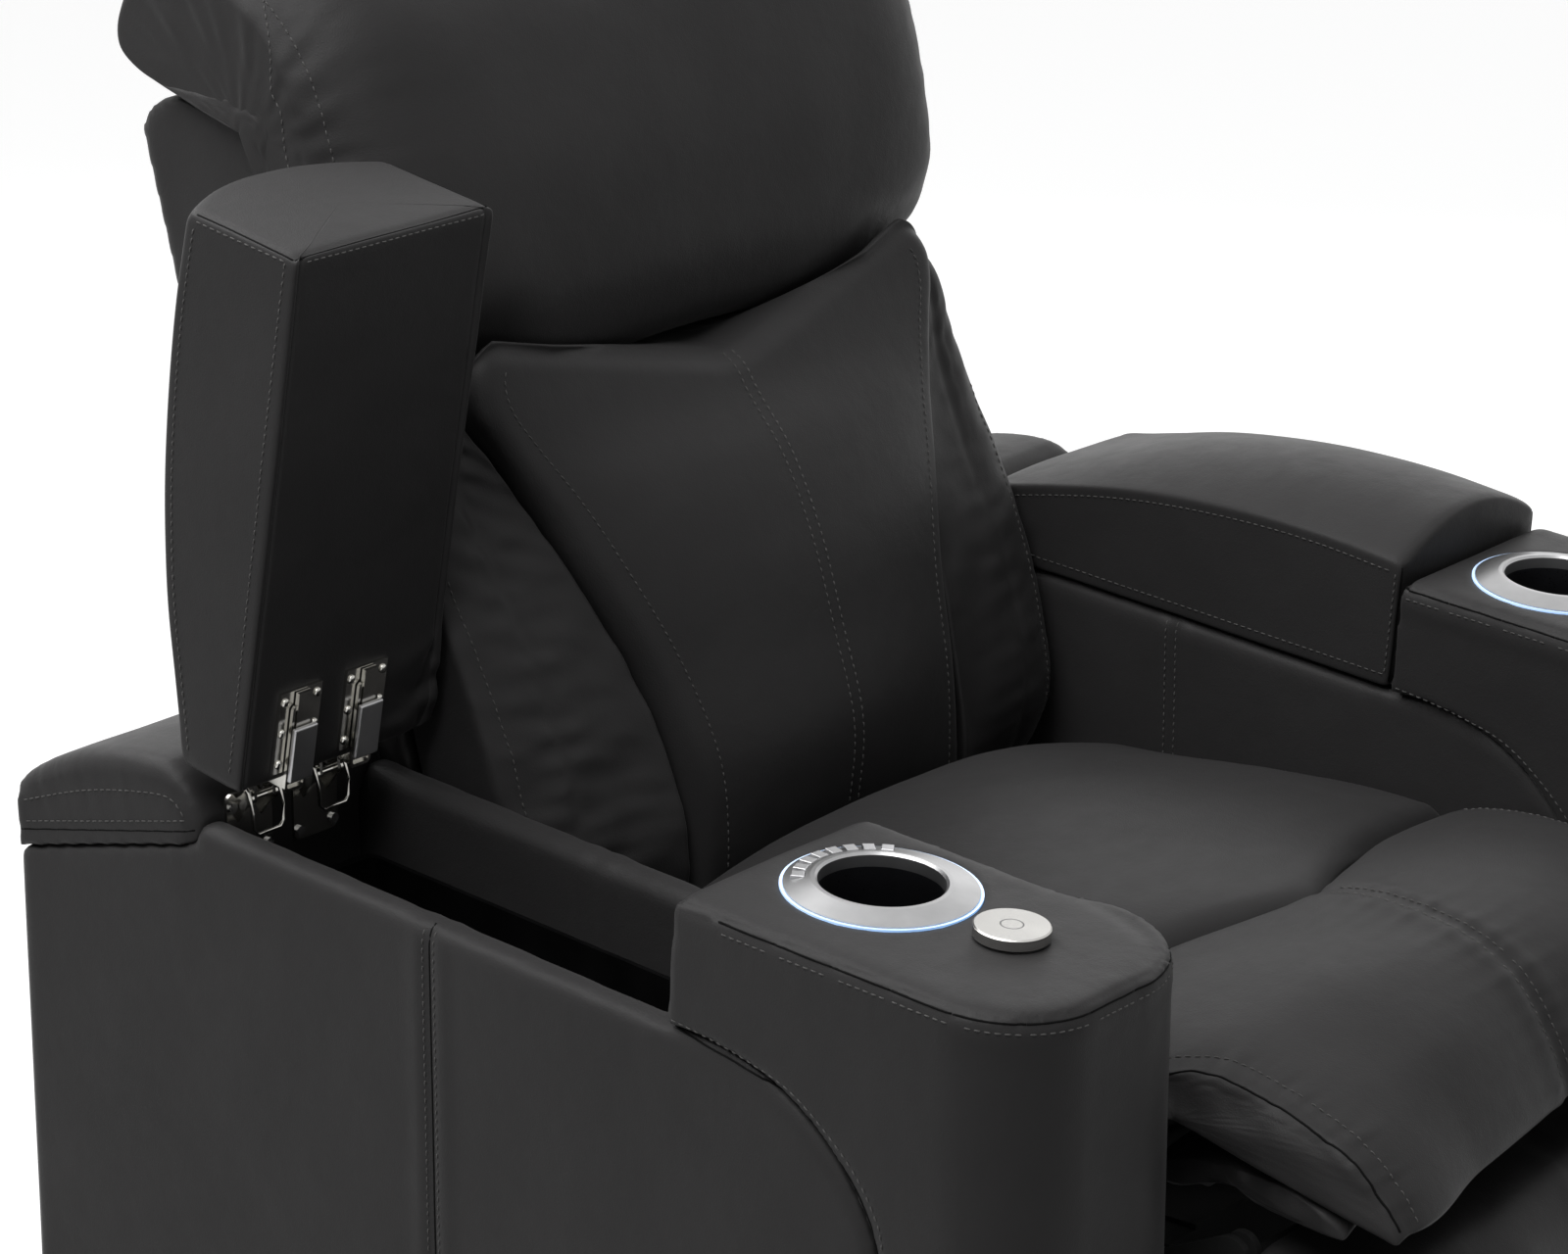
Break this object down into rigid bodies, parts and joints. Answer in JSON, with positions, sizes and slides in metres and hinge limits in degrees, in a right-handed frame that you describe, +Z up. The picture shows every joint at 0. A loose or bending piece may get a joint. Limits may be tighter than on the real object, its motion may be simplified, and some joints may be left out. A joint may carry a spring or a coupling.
{
  "type": "power recliner cinema armchair",
  "caption": "Upholstered reclining cinema armchair with wide arms, lidded storage, lit cup rings, folding footrest and wraparound head pillow.",
  "frame": {"origin": "on the floor, under the middle of the chair as it stands with the seat upright and the footrest stored", "axes": "+Z up, the sitter looks along -Y, +X is the sitter's left"},
  "size_m": [0.886, 0.9377, 1.0785],
  "materials": {
    "upholstery": "smooth charcoal leather, low sheen",
    "lining_cloth": "woven dust cover",
    "black_plastic": "moulded, fine grain",
    "housing_plastic": "moulded",
    "light_diffuser": "translucent, lit from behind",
    "satin_metal": "satin",
    "button_metal": "satin",
    "nickel": "nickel plate",
    "plywood": "bare plywood",
    "rod_steel": "ground",
    "painted_steel": "black powder coat"
  },
  "bodies": {
    "base": {"base_frame": "painted_steel", "glide_feet": "black_plastic", "right_arm_outer_panel": "upholstery", "right_arm_inner_panel": "upholstery", "right_arm_rear_block": "upholstery", "right_cup_console": "upholstery", "right_storage_tray": "black_plastic", "right_cup_ring": "satin_metal", "right_cup_light_ring": "light_diffuser", "right_cup_liner": "satin_metal", "right_hinge_fixed_leaves": "nickel", "left_arm_outer_panel": "upholstery", "left_arm_inner_panel": "upholstery", "left_arm_rear_block": "upholstery", "left_cup_console": "upholstery", "left_storage_tray": "black_plastic", "left_cup_ring": "satin_metal", "left_cup_light_ring": "light_diffuser", "left_cup_liner": "satin_metal", "left_hinge_fixed_leaves": "nickel", "hinge_screws": "nickel", "accessory_socket": "satin_metal", "seat_frame": "painted_steel", "seat_cushion": "upholstery", "seat_front_roll": "upholstery", "seat_front_underpad": "upholstery", "rear_valance": "lining_cloth", "recline_actuator_housing": "housing_plastic", "footrest_actuator_housing": "housing_plastic"},
    "right_hinge_link_arms": {"right_hinge_links": "nickel"},
    "right_lid_assembly": {"right_lid": "upholstery", "right_hinge_lid_leaves": "nickel"},
    "left_hinge_link_arms": {"left_hinge_links": "nickel"},
    "left_lid_assembly": {"left_lid": "upholstery", "left_hinge_lid_leaves": "nickel"},
    "button_1_body": {"button_1": "button_metal"},
    "button_2_body": {"button_2": "button_metal"},
    "button_3_body": {"button_3": "button_metal"},
    "button_4_body": {"button_4": "button_metal"},
    "button_5_body": {"button_5": "button_metal"},
    "button_6_body": {"button_6": "button_metal"},
    "button_7_body": {"button_7": "button_metal"},
    "button_8_body": {"button_8": "button_metal"},
    "accessory_cap_body": {"accessory_cap": "satin_metal"},
    "back": {"back_frame": "painted_steel", "back_shell": "upholstery", "lumbar_cushion": "upholstery", "right_back_bolster": "upholstery", "left_back_bolster": "upholstery", "headrest_actuator_housing": "housing_plastic"},
    "recline_rod": {"recline_actuator_rod": "rod_steel"},
    "headrest": {"headrest_pillow": "upholstery", "headrest_bracket": "painted_steel"},
    "headrest_rod": {"headrest_actuator_rod": "rod_steel"},
    "footrest_main_link_pair": {"footrest_main_links": "painted_steel"},
    "footrest_carrier_link_pair": {"footrest_carrier_links": "painted_steel"},
    "footrest_guide_link_pair": {"footrest_guide_links": "painted_steel"},
    "footrest_panel": {"footrest_board": "plywood", "footrest_pad": "upholstery"},
    "footrest_rod": {"footrest_actuator_rod": "rod_steel"}
  },
  "joints": [
    {"name": "right_lid_hinge_lower", "type": "hinge", "parent": "base", "child": "right_hinge_link_arms", "pos_m": [-0.3725, 0.22976, 0.58709], "axis": [1, 0, 0], "range_deg": [0, 42.3]},
    {"name": "right_lid_hinge_upper", "type": "hinge", "parent": "right_hinge_link_arms", "child": "right_lid_assembly", "pos_m": [-0.3725, 0.23096, 0.60705], "axis": [1, 0, 0], "range_deg": [0, 42.3]},
    {"name": "left_lid_hinge_lower", "type": "hinge", "parent": "base", "child": "left_hinge_link_arms", "pos_m": [0.3725, 0.22976, 0.58709], "axis": [1, 0, 0], "range_deg": [-42.3, 0]},
    {"name": "left_lid_hinge_upper", "type": "hinge", "parent": "left_hinge_link_arms", "child": "left_lid_assembly", "pos_m": [0.3725, 0.21721, 0.60266], "axis": [1, 0, 0], "range_deg": [-42.3, 0]},
    {"name": "button_1_press", "type": "slide", "parent": "base", "child": "button_1_body", "axis": [0, 0.079, -0.9969], "range_m": [0, 0.0006], "stiffness_N_per_m": 2500, "springref_m": -0.0004},
    {"name": "button_2_press", "type": "slide", "parent": "base", "child": "button_2_body", "axis": [0, 0.079, -0.9969], "range_m": [0, 0.0006], "stiffness_N_per_m": 2500, "springref_m": -0.0004},
    {"name": "button_3_press", "type": "slide", "parent": "base", "child": "button_3_body", "axis": [0, 0.079, -0.9969], "range_m": [0, 0.0006], "stiffness_N_per_m": 2500, "springref_m": -0.0004},
    {"name": "button_4_press", "type": "slide", "parent": "base", "child": "button_4_body", "axis": [0, 0.079, -0.9969], "range_m": [0, 0.0006], "stiffness_N_per_m": 2500, "springref_m": -0.0004},
    {"name": "button_5_press", "type": "slide", "parent": "base", "child": "button_5_body", "axis": [0, 0.079, -0.9969], "range_m": [0, 0.0006], "stiffness_N_per_m": 2500, "springref_m": -0.0004},
    {"name": "button_6_press", "type": "slide", "parent": "base", "child": "button_6_body", "axis": [0, 0.079, -0.9969], "range_m": [0, 0.0006], "stiffness_N_per_m": 2500, "springref_m": -0.0004},
    {"name": "button_7_press", "type": "slide", "parent": "base", "child": "button_7_body", "axis": [0, 0.079, -0.9969], "range_m": [0, 0.0006], "stiffness_N_per_m": 2500, "springref_m": -0.0004},
    {"name": "button_8_press", "type": "slide", "parent": "base", "child": "button_8_body", "axis": [0, 0.079, -0.9969], "range_m": [0, 0.0006], "stiffness_N_per_m": 2500, "springref_m": -0.0004},
    {"name": "accessory_cap_lift", "type": "slide", "parent": "base", "child": "accessory_cap_body", "axis": [0, -0.079, 0.9969], "range_m": [0, 0.03]},
    {"name": "recline", "type": "hinge", "parent": "base", "child": "back", "pos_m": [0, 0.232, 0.405], "axis": [-1, 0, 0], "range_deg": [0, 45]},
    {"name": "recline_rod_travel", "type": "slide", "parent": "base", "child": "recline_rod", "axis": [0, -1, 0], "range_m": [0, 0.08439]},
    {"name": "headrest_tilt", "type": "hinge", "parent": "back", "child": "headrest", "pos_m": [0, 0.262, 0.822], "axis": [1, 0, 0], "range_deg": [0, 22]},
    {"name": "headrest_rod_travel", "type": "slide", "parent": "back", "child": "headrest_rod", "axis": [0, 0.247, 0.969], "range_m": [0, 0.0231]},
    {"name": "footrest_main", "type": "hinge", "parent": "base", "child": "footrest_main_link_pair", "pos_m": [0, -0.301, 0.1683], "axis": [1, 0, 0], "range_deg": [0, 52.43]},
    {"name": "footrest_carrier", "type": "hinge", "parent": "footrest_main_link_pair", "child": "footrest_carrier_link_pair", "pos_m": [0, -0.25917, 0.35839], "axis": [1, 0, 0], "range_deg": [-53.98, 0]},
    {"name": "footrest_guide", "type": "hinge", "parent": "base", "child": "footrest_guide_link_pair", "pos_m": [0, -0.24212, 0.16171], "axis": [1, 0, 0], "range_deg": [0, 52.35]},
    {"name": "footrest_panel_tilt", "type": "hinge", "parent": "footrest_carrier_link_pair", "child": "footrest_panel", "pos_m": [0, -0.34954, 0.4016], "axis": [1, 0, 0], "range_deg": [-84.55, 0]},
    {"name": "footrest_rod_travel", "type": "slide", "parent": "base", "child": "footrest_rod", "axis": [0, 1, 0], "range_m": [0, 0.06204]}
  ],
  "couplings": [
    {"joint": "right_lid_hinge_upper", "follows": "right_lid_hinge_lower", "ratio": 1},
    {"joint": "left_lid_hinge_upper", "follows": "left_lid_hinge_lower", "ratio": 1},
    {"joint": "recline_rod_travel", "follows": "recline", "m_per_rad": 0.10719},
    {"joint": "headrest_rod_travel", "follows": "headrest_tilt", "m_per_rad": 0.059632},
    {"joint": "footrest_carrier", "follows": "footrest_main", "ratio": -1.0286},
    {"joint": "footrest_guide", "follows": "footrest_main", "ratio": 0.99752},
    {"joint": "footrest_panel_tilt", "follows": "footrest_main", "ratio": -1.6117},
    {"joint": "footrest_rod_travel", "follows": "footrest_main", "m_per_rad": 0.067583}
  ]
}
